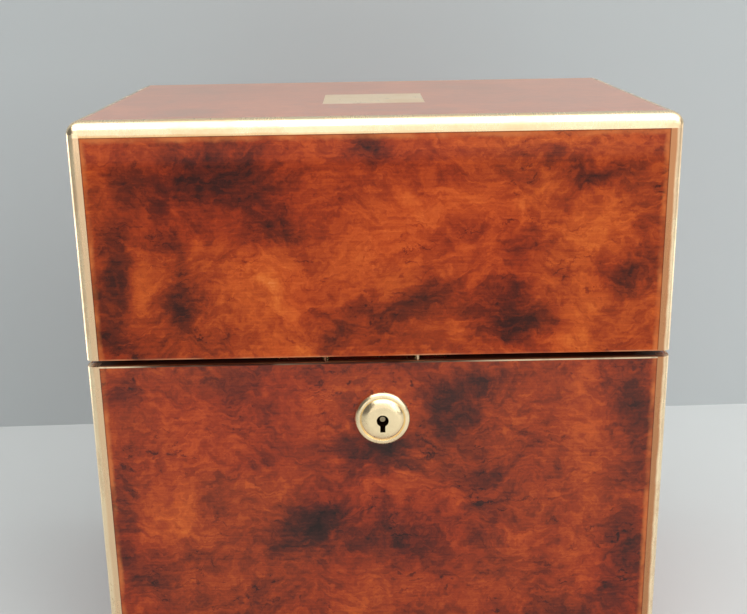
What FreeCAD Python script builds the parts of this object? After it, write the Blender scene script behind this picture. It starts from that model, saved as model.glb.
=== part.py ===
"""A lockable tea caddy: a brass-edged, veneered box with a deep hinged lid and two canisters inside.

Frame: the box stands on z = 0 with its middle over the origin. Its front, with the lock, faces -Y,
and +X is to the right of someone who faces the lock. Millimetres and degrees.
"""
import FreeCAD, Part
import math
import os
import sys
import Sketcher

DIMENSIONS = [
    # the box
    ("box_width", 200, "outside, left to right"),
    ("box_depth", 134, "outside, front to back, without nozzle and hinges"),
    ("box_height", 208, "outside, from baize to top"),
    ("lid_height", 81, "from the lid's rim to its top"),
    ("seam_gap", 2.2, "shadow gap between the two rims"),
    ("strip", 4.4, "width of a brass edge strip on each face"),
    ("top_strip", 5.2, "height of the top edge strips on the sides"),
    ("arris", 2.6, "radius of the outer brass edges"),
    ("top_arris", 4.2, "radius of the four edges round the top"),
    ("veneer", 1, "saw-cut veneer"),
    ("base_wall", 9.5, "base wall, veneer included"),
    ("lid_wall", 8.8, "lid wall, thinner so that it clears the lip"),
    ("top_wall", 9.5, "lid top, veneer included"),
    ("facing", 0.8, "facing on each rim, behind the veneer"),
    ("line_height", 0.5, "brass line in the base veneer's rim"),
    ("line_depth", 0.6, "brass line, in from the face"),
    ("floor_board", 8, "floor board"),
    ("baize", 1, "baize under the floor"),
    ("baize_inset", 3.4, "baize edge, in from the box's side"),
    # plate let into the top
    ("plate_width", 36.5, "initial plate, left to right"),
    ("plate_depth", 33, "initial plate, front to back"),
    ("plate_from_front", 58, "middle of the plate, behind the front face"),
    ("plate_pin", 0.7, "radius of a plate pin"),
    ("plate_pin_inset", 3, "pin, in from the plate's edge"),
    ("plate_pin_length", 6, "plate pin below the plate"),
    # linings
    ("floor_lining", 1.6, "velvet-covered card on the floor"),
    ("base_lining", 2.4, "lining board in the base"),
    ("lip", 4, "how far the base lining stands above the rim"),
    ("lid_lining", 1.6, "lining board in the lid"),
    ("lid_lining_start", 5.5, "lid lining, above the lid's rim"),
    ("divider", 3, "board between the canisters"),
    ("divider_drop", 8, "divider's top, below the rim"),
    ("pad", 9, "padding under the lid's top"),
    ("pad_edge", 3, "radius of the padding's edges"),
    ("pad_gap", 0.3, "padding, clear of the lining"),
    # hinges
    ("hinge_offset", 62, "middle of a hinge, from the box's middle"),
    ("hinge_length", 34, "hinge, end to end"),
    ("hinge_lug", 3, "length of the stop lug at each end of a hinge"),
    ("hinge_leaf", 7.5, "leaf, in from the back face"),
    ("leaf_gap", 0.3, "between the two closed leaves"),
    ("knuckle", 2, "outer radius of a knuckle"),
    ("knuckle_gap", 0.15, "between knuckles, and from a knuckle to the other leaf"),
    ("hinge_pin", 0.9, "radius of the hinge pin"),
    ("pin_clearance", 0.05, "radial, in the lid's knuckles"),
    ("lug_reach", 3.6, "from the hinge axis to the end of a lug's face"),
    ("lug_depth", 3.2, "from the hinge axis to the lug's outer side"),
    ("stop_angle", 96.5, "angle at which the lugs would meet"),
    # screws
    ("screw_head", 1.6, "radius of a countersunk head"),
    ("screw_sink", 0.9, "depth of the countersink"),
    ("screw_shank", 0.75, "radius of the shank"),
    ("screw_length", 7, "screw, end to end"),
    ("screw_slot", 0.45, "width of the driver slot"),
    ("screw_slot_depth", 0.45, "depth of the driver slot"),
    ("hinge_screw_pitch", 10, "between the screws in a leaf"),
    ("hinge_screw_inset", 3.7, "screw, in from the back face"),
    # lock: places are measured from the barrel's axis, and depths from the box's front face
    ("lock_x", 1, "barrel axis, to the right of the middle"),
    ("lock_drop", 20.4, "barrel axis, below the rim"),
    ("lock_left", 31.9, "case, to the left of the axis"),
    ("lock_right", 18.5, "case, to the right of the axis"),
    ("lock_below", 8.5, "case, below the axis"),
    ("lock_front", 3.2, "depth of the case's front"),
    ("case_wall", 1, "wall of the lock case"),
    ("cover", 0.8, "lock cover"),
    ("selvedge", 1.5, "plate on the rim, and link plate"),
    ("selvedge_front", 2.8, "depth of the selvedge's front edge"),
    ("selvedge_end", 4, "selvedge, past each end of the case"),
    ("staple_left", 19.4, "left staple, to the left of the axis"),
    ("staple_right", 12.4, "right staple, to the right of the axis"),
    ("staple", 1.6, "thickness of a staple"),
    ("staple_front", 4.8, "depth of a staple's front"),
    ("staple_back", 8.4, "depth of a staple's back"),
    ("staple_drop", 6.9, "staple, below the base's rim"),
    ("eye_front", 5.4, "depth of the eye's front"),
    ("eye_back", 7.6, "depth of the eye's back"),
    ("eye_top", 3, "eye's top, below the rim"),
    ("eye_bottom", 6, "eye's bottom, below the rim"),
    ("bolt_front", 5.7, "depth of the bolt's front"),
    ("bolt_back", 7.3, "depth of the bolt's back"),
    ("bolt_play", 0.3, "from the bolt's finger to the eye"),
    ("bolt_start", 1.3, "finger's tip at rest, from the staple's middle"),
    ("bolt_throw", 5.66, "travel of the bolt"),
    ("finger", 6.7, "length of a finger past its post"),
    ("post", 3, "width of a post"),
    ("bolt_top", 7.5, "bolt bar's top, below the rim"),
    ("bolt_bar", 3.5, "height of the bolt bar"),
    ("tail", 8.8, "width of the bolt's tail"),
    ("guide", 1, "radius of a guide stud"),
    ("guide_play", 0.15, "round a guide stud"),
    ("guide_left", 18, "left guide stud, to the left of the axis"),
    ("guide_right", 1, "right guide stud, to the right of the axis"),
    ("crank", 4, "barrel axis to drive pin"),
    ("half_throw", 45, "drive pin at rest, to the left of upright"),
    ("drive_pin", 0.9, "radius of the drive pin"),
    ("drive_play", 0.35, "round the drive pin, in the bolt's slot"),
    ("barrel", 4.5, "radius of the barrel"),
    ("barrel_clearance", 0.08, "radial, in nozzle and case"),
    ("barrel_end", 4.3, "depth of the barrel's back"),
    ("flange", 5.6, "radius of the barrel's flange"),
    ("flange_thick", 0.9, "thickness of the barrel's flange"),
    ("key_hole", 2.1, "radius of the keyhole"),
    ("key_slot", 1.8, "width of the keyhole's notch"),
    ("key_slot_drop", 4.2, "notch's end, below the barrel axis"),
    ("key_depth", 3.6, "depth of the key recess's floor"),
    ("drill_pin", 0.95, "radius of the pin that the key fits over"),
    ("nozzle", 9.7, "outer radius of the nozzle"),
    ("nozzle_step", 7.9, "radius of the nozzle's second ring"),
    ("nozzle_face", 4.4, "radius of the nozzle's flat face"),
    ("nozzle_proud", 3.5, "nozzle, in front of the box"),
    ("nozzle_rim", 0.9, "straight side of the nozzle's outer ring"),
    ("nozzle_ring", 2.2, "height of the nozzle's second ring"),
    ("nozzle_plate", 1.4, "thickness of the nozzle's face"),
    ("nozzle_round", 1.7, "radius of the nozzle's rounded outer ring"),
    ("nozzle_dome", 4, "radius of the curve up to the nozzle's face"),
    ("nozzle_groove", 0.28, "depth and half-width of the groove between the rings"),
    ("barrel_gap", 0.2, "from the barrel's end to the nozzle's face"),
    ("sleeve", 6, "radius of the nozzle's sleeve in the wood"),
    ("stud", 0.65, "radius of a rest stud"),
    ("stud_inset", 1.75, "depth of a rest stud's axis"),
    ("stud_play", 0.1, "below a rest stud"),
    ("stud_length", 6, "rest stud, in the wood"),
    # canisters
    ("canister_width", 83, "canister, left to right"),
    ("canister_depth", 104, "canister, front to back"),
    ("canister_height", 127.2, "canister, foot to shoulder"),
    ("canister_edge", 6, "radius of the canister's edges"),
    ("sheet_metal", 0.9, "canister wall"),
    ("rest_gap", 0.2, "under a canister, and under a cap"),
    ("neck", 24, "outer radius of the neck"),
    ("neck_height", 10, "neck above the shoulder"),
    ("cap_play", 0.3, "radial, between cap and neck"),
    ("cap_wall", 1.3, "skirt of the cap"),
    ("cap_dome", 4.2, "rise of the cap's dome"),
    ("cap_dome_radius", 55, "radius of the dome's curve"),
    ("cap_round", 1, "radius of the cap's edge"),
    ("knob_foot", 4.6, "radius of the knob's foot"),
    ("knob_foot_round", 2.6, "radius of the hollow curve at the knob's foot"),
    ("knob_stem", 2.6, "radius of the knob's stem"),
    ("knob_stem_height", 3, "knob's stem"),
    ("knob", 6.2, "radius of the knob's ball"),
]

# Places that many pieces share, as formulas over the sheet
LEFT, RIGHT = "-dims.box_width / 2", "dims.box_width / 2"
FRONT, BACK = "-dims.box_depth / 2", "dims.box_depth / 2"
TOP = "dims.box_height"
LID_RIM = "(dims.box_height - dims.lid_height)"
RIM = "(dims.box_height - dims.lid_height - dims.seam_gap)"
FLOOR = "(dims.baize + dims.floor_board)"
LINED_FLOOR = "(dims.baize + dims.floor_board + dims.floor_lining)"
CEILING = "(dims.box_height - dims.top_wall)"
HINGE_Y = "(dims.box_depth / 2 + dims.knuckle)"
HINGE_Z = "(dims.box_height - dims.lid_height - dims.seam_gap / 2)"
LOCK_Z = f"({RIM} - dims.lock_drop)"
SIDES = (("left", "-"), ("right", "+"))
CORNERS = [(x, y) for x in "-+" for y in "-+"]
LENGTHS = ("Length", "Width", "Height")
FAR = 1000  # a cutting block that ends clear of everything


doc = FreeCAD.newDocument("tea_caddy")
sheet = doc.addObject("Spreadsheet::Sheet", "dims")
for row, (alias, value, note) in enumerate(DIMENSIONS, 1):
    sheet.set(f"A{row}", alias)
    sheet.set(f"B{row}", str(value))
    sheet.set(f"C{row}", note)
    sheet.setAlias(f"B{row}", alias)
spare = doc.addObject("Spreadsheet::Sheet", "spare")
doc.recompute()

nodes = {}  # node name: the document object whose shape it is


# ---- Ways of making a piece ----

def number(formula):
    """A formula's present value, worked out in a spare cell."""
    spare.set("A1", f"={formula}")
    spare.recompute()
    value = spare.get("A1")
    return float(getattr(value, "Value", value))


def place(item, x=0, y=0, z=0):
    """Put an object's origin at three formulas."""
    for axis, formula in zip("xyz", (x, y, z)):
        item.setExpression(f"Placement.Base.{axis}", str(formula))
    return item


def block(name, x, y, z):
    """A box between two formulas along each axis."""
    item = doc.addObject("Part::Box", name)
    for size, (low, high) in zip(LENGTHS, (x, y, z)):
        item.setExpression(size, f"({high}) - ({low})")
    return place(item, x[0], y[0], z[0])


def rod(name, axis, centre, span, radius):
    """A cylinder along an axis, between two formulas. centre gives the other two axes in X, Y, Z order."""
    turn = {"X": (0, 1, 0, 90), "Y": (1, 0, 0, -90), "Z": (0, 0, 1, 0)}[axis]
    item = doc.addObject("Part::Cylinder", name)
    item.Placement.Rotation = FreeCAD.Rotation(FreeCAD.Vector(*turn[:3]), turn[3])
    item.setExpression("Height", f"({span[1]}) - ({span[0]})")
    item.setExpression("Radius", str(radius))
    where = list(centre)
    where.insert("XYZ".index(axis), span[0])
    return place(item, *where)


def group(name, items):
    """Several separate solids as one object."""
    item = doc.addObject("Part::Compound", name)
    item.Links = items
    return item


def fuse(name, items):
    item = doc.addObject("Part::MultiFuse", name)
    item.Shapes = items
    item.Refine = True
    return item


def common(name, first, second):
    item = doc.addObject("Part::Common", name)
    item.Base, item.Tool = first, second
    return item


def cut(name, item, *tools):
    """item without each tool, one cut after another."""
    for count, tool in enumerate(tools, 1):
        smaller = doc.addObject("Part::Cut", name if count == len(tools) else f"{name}_{count}")
        smaller.Base, smaller.Tool = item, tool
        item = smaller
    return item


def rounded(name, x, y, z, radius):
    """A box with all its edges rounded, as a body."""
    body = doc.addObject("PartDesign::Body", name)
    core = body.newObject("PartDesign::AdditiveBox", f"{name}_core")
    for size, (low, high) in zip(LENGTHS, (x, y, z)):
        core.setExpression(size, f"({high}) - ({low})")
    doc.recompute()
    edges = body.newObject("PartDesign::Fillet", f"{name}_edges")
    edges.Base = (core, ["Edge1"])
    edges.UseAllEdges = True
    edges.setExpression("Radius", str(radius))
    body.Tip = edges
    return place(body, x[0], y[0], z[0])


def eased(name, item, radius, top_radius):
    """A box with all its edges rounded, those round its top by a radius of their own."""
    doc.recompute()
    top = item.Shape.BoundBox.ZMax
    edges = []
    for count, edge in enumerate(item.Shape.Edges, 1):
        upper = all(abs(point.Z - top) < 0.001 for point in edge.Vertexes)
        size = number(top_radius if upper else radius)
        edges.append((count, size, size))
    soft = doc.addObject("Part::Fillet", name)
    soft.Base, soft.Edges = item, edges
    return soft


def outline(body, name, plane, steps):
    """A closed sketch on one of a body's own planes.

    Each step is the next corner, (x, y), and where the way to it is an arc, also the arc's radius and
    +1 if it runs anticlockwise or -1 if clockwise. The first step is where the outline starts and ends.
    """
    sketch = body.newObject("Sketcher::SketchObject", name)
    origin = next(f for f in body.Origin.OriginFeatures if f.Role == plane)
    sketch.AttachmentSupport = [(origin, "")]
    sketch.MapMode = "FlatFace"
    points = [FreeCAD.Vector(number(s[0]), number(s[1]), 0) for s in steps]
    edges = []  # (which point of the edge is its start, which is its end)
    for count, step in enumerate(steps):
        start, end = points[count - 1], points[count]
        if len(step) == 2:
            sketch.addGeometry(Part.LineSegment(start, end))
            edges.append((1, 2))
            continue
        radius, turn = number(step[2]), step[3]
        if turn < 0:
            start, end = end, start
        half = (end - start) / 2
        reach = math.sqrt(max(radius ** 2 - half.Length ** 2, 0))
        middle = start + half + FreeCAD.Vector(-half.y, half.x, 0).normalize() * reach
        angles = [math.atan2(p.y - middle.y, p.x - middle.x) for p in (start, end)]
        circle = Part.Circle(middle, FreeCAD.Vector(0, 0, 1), radius)
        sketch.addGeometry(Part.ArcOfCircle(circle, angles[0], angles[1]))
        edges.append((1, 2) if turn > 0 else (2, 1))
    for count, step in enumerate(steps):
        here, there = count, (count + 1) % len(steps)
        sketch.addConstraint(Sketcher.Constraint("Coincident", here, edges[here][1], there, edges[there][0]))
        for kind, formula in zip(("DistanceX", "DistanceY"), step):
            rule = Sketcher.Constraint(kind, -1, 1, here, edges[here][1], number(formula))
            bind(sketch, f"{kind}_{count}", rule, formula)
        if len(step) == 4:
            rule = Sketcher.Constraint("Radius", here, number(step[2]))
            bind(sketch, f"radius_{count}", rule, step[2])
    return sketch


def bind(sketch, name, rule, formula):
    """Add a named constraint whose value is a formula."""
    index = sketch.addConstraint(rule)
    sketch.renameConstraint(index, name)
    sketch.setExpression(f"Constraints.{name}", str(formula))


def turned(name, steps):
    """A body turned about its own Z axis, from an outline of (radius, height) steps."""
    body = doc.addObject("PartDesign::Body", name)
    sketch = outline(body, f"{name}_profile", "XZ_Plane", steps)
    doc.recompute()
    solid = body.newObject("PartDesign::Revolution", f"{name}_turned")
    solid.Profile = sketch
    solid.ReferenceAxis = (sketch, ["V_Axis"])
    solid.Angle = 360
    return body


def padded(name, plane, steps, thickness):
    """A body padded both ways from an outline on one of its planes."""
    body = doc.addObject("PartDesign::Body", name)
    sketch = outline(body, f"{name}_outline", plane, steps)
    doc.recompute()
    solid = body.newObject("PartDesign::Pad", f"{name}_pad")
    solid.Profile = sketch
    solid.Midplane = True
    solid.setExpression("Length", str(thickness))
    return body


def keep(label, item):
    """Make an object the node of that name."""
    item.Label = label
    nodes[label] = item
    return item


def screws(name, places, up):
    """Countersunk screws with their heads at (x, y, z) formulas, pointing up or down; returns their holes."""
    solids, slots = [], []
    for count, (x, y, z) in enumerate(places):
        head = doc.addObject("Part::Cone", f"{name}_head_{count}")
        shank = doc.addObject("Part::Cylinder", f"{name}_shank_{count}")
        head.setExpression("Radius1", "dims.screw_head")
        head.setExpression("Radius2", "dims.screw_shank")
        head.setExpression("Height", "dims.screw_sink")
        shank.setExpression("Radius", "dims.screw_shank")
        shank.setExpression("Height", "dims.screw_length")
        for item in (head, shank):
            if not up:
                item.Placement.Rotation = FreeCAD.Rotation(FreeCAD.Vector(1, 0, 0), 180)
            place(item, x, y, z)
        solids.append(fuse(f"{name}_{count}", [head, shank]))
        deep = ("0", "dims.screw_slot_depth") if up else ("-dims.screw_slot_depth", "0")
        across = [f"{x} {sign} dims.screw_head" for sign in "-+"]
        along = [f"{y} {sign} dims.screw_slot / 2" for sign in "-+"]
        slots.append(block(f"{name}_slot_{count}", across, along, [f"{z} + ({d})" for d in deep]))
    holes = group(f"{name}_holes", solids)
    keep(name, cut(f"{name}_slotted", holes, group(f"{name}_slots", slots)))
    return holes


# ---- The outer form and the space for the brass ----

def inside(low, high, margin):
    """A span moved in by a margin at both ends."""
    return (f"{low} + ({margin})", f"{high} - ({margin})")


def in_from(sign, low, high, start, end):
    """A stretch from start to end, measured in from the low (-) or the high (+) end of a span."""
    if sign == "-":
        return (f"{low} + ({start})", f"{low} + ({end})")
    return (f"{high} - ({end})", f"{high} - ({start})")


def corner_bars(name, z):
    """Four square bars that stand in the box's corners."""
    return [block(f"{name}_{count}", in_from(x, LEFT, RIGHT, "0", "dims.strip"),
                  in_from(y, FRONT, BACK, "0", "dims.strip"), z)
            for count, (x, y) in enumerate(CORNERS)]


def edge_bars(name, z):
    """Four bars round the box, the front and back ones running through."""
    bars = [block(f"{name}_{count}", (LEFT, RIGHT), in_from(sign, FRONT, BACK, "0", "dims.strip"), z)
            for count, sign in enumerate("-+")]
    bars += [block(f"{name}_{count}", in_from(sign, LEFT, RIGHT, "0", "dims.strip"),
                   inside(FRONT, BACK, "dims.strip"), z)
             for count, sign in enumerate("-+", 2)]
    return bars


def brass_strips(label, bars):
    """The part of each bar that lies inside the box's rounded outer form."""
    rounds = [common(f"{bar.Name}_rounded", outer_form, bar) for bar in bars]
    keep(label, group(f"{label}_group", rounds))


def ring(name, wall, z):
    """A facing as wide as a wall's board."""
    outer = block(f"{name}_outer", inside(LEFT, RIGHT, "dims.veneer"), inside(FRONT, BACK, "dims.veneer"), z)
    middle = (z[0], f"{z[1]} + {FAR}")
    inner = block(f"{name}_inner", inside(LEFT, RIGHT, wall), inside(FRONT, BACK, wall), middle)
    return cut(name, outer, inner)


outer_form = eased("outer_form", block("outer_block", (LEFT, RIGHT), (FRONT, BACK), ("dims.baize", TOP)),
                   "dims.arris", "dims.top_arris")
top_bars = edge_bars("top_bar", (f"{TOP} - dims.top_strip", TOP))
bottom_bars = edge_bars("bottom_bar", ("dims.baize", "dims.baize + dims.strip"))
corner_space = group("corner_space", corner_bars("corner_bar", ("dims.baize", TOP)))
top_space = group("top_space", top_bars)
bottom_space = group("bottom_space", bottom_bars)

brass_strips("lid_edge_strips", top_bars)
brass_strips("base_edge_strips", bottom_bars)
brass_strips("lid_corner_strips", corner_bars("lid_corner", (LID_RIM, f"{TOP} - dims.top_strip")))
brass_strips("base_corner_strips",
             corner_bars("base_corner", ("dims.baize + dims.strip", RIM)))


# ---- Screws, hinges ----

def hinge_screws(name, z, up):
    places = [(f"{side}dims.hinge_offset + {count} * dims.hinge_screw_pitch",
               f"{BACK} - dims.hinge_screw_inset", z)
              for _, side in SIDES for count in (-1, 0, 1)]
    return screws(name, places, up)


base_hinge_holes = hinge_screws("base_hinge_screws", f"{HINGE_Z} - dims.leaf_gap / 2", up=False)
lid_hinge_holes = hinge_screws("lid_hinge_screws", f"{HINGE_Z} + dims.leaf_gap / 2", up=True)

LEAF_Z = {"base": (f"{RIM} - dims.facing", f"{HINGE_Z} - dims.leaf_gap / 2"),
          "lid": (f"{HINGE_Z} + dims.leaf_gap / 2", f"{LID_RIM} + dims.facing")}
KNUCKLES = 5  # the base has the first, third and fifth
KNUCKLE_PITCH = f"((dims.hinge_length - 2 * dims.hinge_lug) / {KNUCKLES})"


def stop_lug(name, up):
    """A stop lug about the hinge axis: its slanting face meets the other leaf's when wide open."""
    half_gap, half_stop = "dims.leaf_gap / 2", "dims.stop_angle / 2"
    corners = [("-dims.knuckle", half_gap),
               ("-dims.knuckle", "dims.lug_depth"),
               ("dims.lug_depth / 3", "dims.lug_depth"),
               (f"dims.lug_reach * cos({half_stop})", f"dims.lug_reach * sin({half_stop})"),
               (f"({half_gap}) / tan({half_stop})", half_gap)]
    if not up:
        corners = [(y, f"-({z})") for y, z in corners]
    return padded(name, "YZ_Plane", corners, "dims.hinge_lug")


def hinge_leaf(part, side, sign):
    """One leaf: a plate in the rim, its knuckles, and a stop lug at each end."""
    name = f"{part}_leaf_{side}"
    middle = f"{sign}dims.hinge_offset"
    z = LEAF_Z[part]
    ends = (f"{middle} - dims.hinge_length / 2", f"{middle} + dims.hinge_length / 2")
    plate_y = (f"{BACK} - dims.hinge_leaf", f"{BACK} - dims.knuckle_gap")
    tab_y = (f"{BACK} - dims.knuckle_gap", HINGE_Y)
    solids = [block(f"{name}_plate", ends, plate_y, z)]
    start = f"({middle} - dims.hinge_length / 2 + dims.hinge_lug)"
    for count in range(0 if part == "base" else 1, KNUCKLES, 2):
        x = (f"{start} + {count} * {KNUCKLE_PITCH} + dims.knuckle_gap / 2",
             f"{start} + {count + 1} * {KNUCKLE_PITCH} - dims.knuckle_gap / 2")
        solids.append(rod(f"{name}_knuckle_{count}", "X", (HINGE_Y, HINGE_Z), x, "dims.knuckle"))
        solids.append(block(f"{name}_tab_{count}", x, tab_y, z))
    for count, (x, out) in enumerate(zip(ends, "+-")):
        lug_x = (x, f"{x} + dims.hinge_lug") if out == "+" else (f"{x} - dims.hinge_lug", x)
        lug = stop_lug(f"{name}_lug_{count}", part == "lid")
        place(lug, f"{x} {out} dims.hinge_lug / 2", HINGE_Y, HINGE_Z)
        bridge_y = (f"{BACK} - dims.knuckle_gap", f"{BACK} + dims.knuckle_gap")
        solids += [lug, block(f"{name}_bridge_{count}", lug_x, bridge_y, z)]
    play = "0" if part == "base" else "dims.pin_clearance"
    bore = rod(f"{name}_bore", "X", (HINGE_Y, HINGE_Z), inside(*ends, "dims.hinge_lug"),
               f"dims.hinge_pin + {play}")
    holes = base_hinge_holes if part == "base" else lid_hinge_holes
    keep(f"{part}_hinge_leaf_{side}", cut(f"{name}_bored", fuse(name, solids), bore, holes))
    return block(f"{name}_space", ends, (plate_y[0], BACK), z)


leaf_space = {part: group(f"{part}_leaf_space", [hinge_leaf(part, *side) for side in SIDES])
              for part in ("base", "lid")}
keep("hinge_pins", group("pins", [
    rod(f"pin_{side}", "X", (HINGE_Y, HINGE_Z),
        inside(f"{sign}dims.hinge_offset - dims.hinge_length / 2",
               f"{sign}dims.hinge_offset + dims.hinge_length / 2", "dims.hinge_lug"), "dims.hinge_pin")
    for side, sign in SIDES]))


# ---- Lock ----

def deep(depth):
    """A depth behind the box's front face."""
    return f"({FRONT} + ({depth}))"


def along(offset):
    """A place to the right of the barrel's axis."""
    return f"(dims.lock_x + {offset})"


def below_rim(drop):
    return f"({RIM} - ({drop}))"


CASE_X = (along("-dims.lock_left"), along("dims.lock_right"))
CASE_INSIDE_X = inside(*CASE_X, "dims.case_wall")
CASE_Z = (f"{LOCK_Z} - dims.lock_below", RIM)
CASE_BACK = deep("dims.base_wall")
SELVEDGE_X = (f"{CASE_X[0]} - dims.selvedge_end", f"{CASE_X[1]} + dims.selvedge_end")
STAPLES = (along("-dims.staple_left"), along("dims.staple_right"))
GUIDES = (along("-dims.guide_left"), along("dims.guide_right"))
PLATE_SCREW_X = [f"{SELVEDGE_X[0]} + dims.selvedge_end / 2", f"{SELVEDGE_X[1]} - dims.selvedge_end / 2"]
AXIS = ("dims.lock_x", LOCK_Z)

selvedge_space = block("selvedge_space", SELVEDGE_X, (deep("dims.selvedge_front"), CASE_BACK),
                       (below_rim("dims.selvedge"), RIM))
case_space = block("case_space", CASE_X, (deep("dims.lock_front"), CASE_BACK), CASE_Z)
sleeve_space = rod("sleeve_space", "Y", AXIS, (FRONT, deep("dims.lock_front")), "dims.sleeve")
lock_holes = screws("lock_screws", [(x, f"({deep('dims.selvedge_front')} + {CASE_BACK}) / 2", RIM)
                                    for x in PLATE_SCREW_X], up=False)


def lock_case():
    """An open-backed case with the selvedge on top, and two studs that guide the bolt."""
    cover_front = f"{CASE_BACK} - dims.cover"
    shell = block("case_shell", CASE_X, (deep("dims.lock_front"), cover_front), CASE_Z)
    hollow = block("case_hollow", CASE_INSIDE_X, (deep("dims.lock_front + dims.case_wall"), cover_front),
                   (f"{CASE_Z[0]} + dims.case_wall", below_rim("dims.selvedge")))
    walls = cut("case_walls", shell, hollow)
    studs = [rod(f"case_guide_{count}", "Y", (x, below_rim("dims.bolt_top + dims.bolt_bar / 2")),
                 (deep("dims.lock_front"), cover_front), "dims.guide")
             for count, x in enumerate(GUIDES)]
    whole = fuse("case_whole", [walls, selvedge_space, *studs])
    slots = [block(f"case_slot_{count}", (f"{x} - dims.staple", f"{x} + dims.staple"),
                   (deep("dims.lock_front + dims.case_wall"), cover_front),
                   (below_rim("2 * dims.selvedge"), f"{RIM} + {FAR}"))
             for count, x in enumerate(STAPLES)]
    bore = rod("case_bore", "Y", AXIS, (FRONT, deep("dims.barrel_end")),
               "dims.barrel + dims.barrel_clearance")
    keep("lock_case", cut("case_cut", whole, group("case_slots", slots), bore, lock_holes))
    keep("lock_cover", block("cover_plate", CASE_X, (cover_front, CASE_BACK),
                             (CASE_Z[0], below_rim("dims.selvedge"))))


def lock_nozzle():
    """The stepped round nozzle in front, with its sleeve through the wood. Heights are towards the front."""
    bore = "dims.barrel + dims.barrel_clearance"
    under = "dims.nozzle_proud - dims.nozzle_plate"
    body = turned("nozzle_body", [
        ("dims.nozzle", "0"),
        ("dims.nozzle", "dims.nozzle_rim"),
        ("dims.nozzle_step", "dims.nozzle_ring", "dims.nozzle_round", 1),
        ("dims.nozzle_step - dims.nozzle_groove", "dims.nozzle_ring - dims.nozzle_groove"),
        ("dims.nozzle_step - 2 * dims.nozzle_groove", "dims.nozzle_ring"),
        ("dims.nozzle_face", "dims.nozzle_proud", "dims.nozzle_dome", 1),
        ("dims.key_hole", "dims.nozzle_proud"),
        ("dims.key_hole", under),
        (bore, under),
        (bore, "-dims.lock_front"),
        ("dims.sleeve", "-dims.lock_front"),
        ("dims.sleeve", "0"),
    ])
    body.Placement.Rotation = FreeCAD.Rotation(FreeCAD.Vector(1, 0, 0), 90)
    place(body, "dims.lock_x", FRONT, LOCK_Z)
    notch = block("nozzle_notch", (along("-dims.key_slot / 2"), along("dims.key_slot / 2")),
                  (f"{FRONT} - dims.nozzle_proud", f"{FRONT} - ({under})"),
                  (f"{LOCK_Z} - dims.key_slot_drop", LOCK_Z))
    keep("lock_nozzle", cut("nozzle_notched", body, notch))


def lock_barrel():
    """The barrel that the key turns: a key recess round a drill pin, a flange, and a drive pin behind."""
    face = deep("-(dims.nozzle_proud - dims.nozzle_plate - dims.barrel_gap)")
    recess = (face, deep("dims.key_depth"))
    flange_back = "dims.barrel_end + dims.flange_thick"
    tube = cut("barrel_tube", rod("barrel_rod", "Y", AXIS, (face, deep("dims.barrel_end")), "dims.barrel"),
               rod("barrel_recess", "Y", AXIS, recess, "dims.key_hole"),
               block("barrel_keyway", (along("-dims.key_slot / 2"), along("dims.key_slot / 2")), recess,
                     (f"{LOCK_Z} - dims.barrel", f"{LOCK_Z} - dims.drill_pin")))
    drive = (f"dims.lock_x - dims.crank * sin(dims.half_throw)",
             f"{LOCK_Z} + dims.crank * cos(dims.half_throw)")
    keep("lock_barrel", fuse("barrel_whole", [
        tube,
        rod("barrel_drill_pin", "Y", AXIS, (f"{face} + dims.barrel_gap", deep("dims.barrel_end")),
            "dims.drill_pin"),
        rod("barrel_flange", "Y", AXIS, (deep("dims.barrel_end"), deep(flange_back)), "dims.flange"),
        rod("barrel_drive_pin", "Y", drive, (deep("dims.barrel_end"), deep("dims.eye_back")),
            "dims.drive_pin")]))


def lock_bolt():
    """The sliding bolt: a tail that the drive pin pushes, a bar, and a finger for each staple."""
    y = (deep("dims.bolt_front"), deep("dims.bolt_back"))
    bar_z = (below_rim("dims.bolt_top + dims.bolt_bar"), below_rim("dims.bolt_top"))
    finger_z = (below_rim("dims.eye_bottom - dims.bolt_play"), below_rim("dims.eye_top + dims.bolt_play"))
    tips = [f"{x} - dims.bolt_start" for x in STAPLES]
    posts = [f"{tip} - dims.finger" for tip in tips]
    slot_x = "(dims.lock_x - dims.crank * sin(dims.half_throw))"
    solids = [block("bolt_bar", (f"{posts[0]} - dims.post", posts[1]), y, bar_z),
              block("bolt_tail", (f"{slot_x} - dims.tail / 2", f"{slot_x} + dims.tail / 2"), y,
                    (LOCK_Z, bar_z[1]))]
    for count, (tip, post) in enumerate(zip(tips, posts)):
        solids.append(block(f"bolt_finger_{count}", (f"{post} - dims.post", tip), y, finger_z))
        solids.append(block(f"bolt_post_{count}", (f"{post} - dims.post", post), y, (bar_z[0], finger_z[1])))
    play = "(dims.drive_pin + dims.drive_play)"
    tools = [block("bolt_drive_slot", (f"{slot_x} - {play}", f"{slot_x} + {play}"), y,
                   (f"{LOCK_Z} + dims.crank * cos(dims.half_throw) - {play}",
                    f"{LOCK_Z} + dims.crank + {play}"))]
    room = "(dims.guide + dims.guide_play)"
    middle = below_rim("dims.bolt_top + dims.bolt_bar / 2")
    tools += [block(f"bolt_guide_slot_{count}", (f"{x} - dims.bolt_throw - {room}", f"{x} + {room}"), y,
                    (f"{middle} - {room}", f"{middle} + {room}"))
              for count, x in enumerate(GUIDES)]
    keep("lock_bolt", cut("bolt_cut", fuse("bolt_whole", solids), group("bolt_slots", tools)))


lock_case()
lock_nozzle()
lock_barrel()
lock_bolt()

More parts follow.
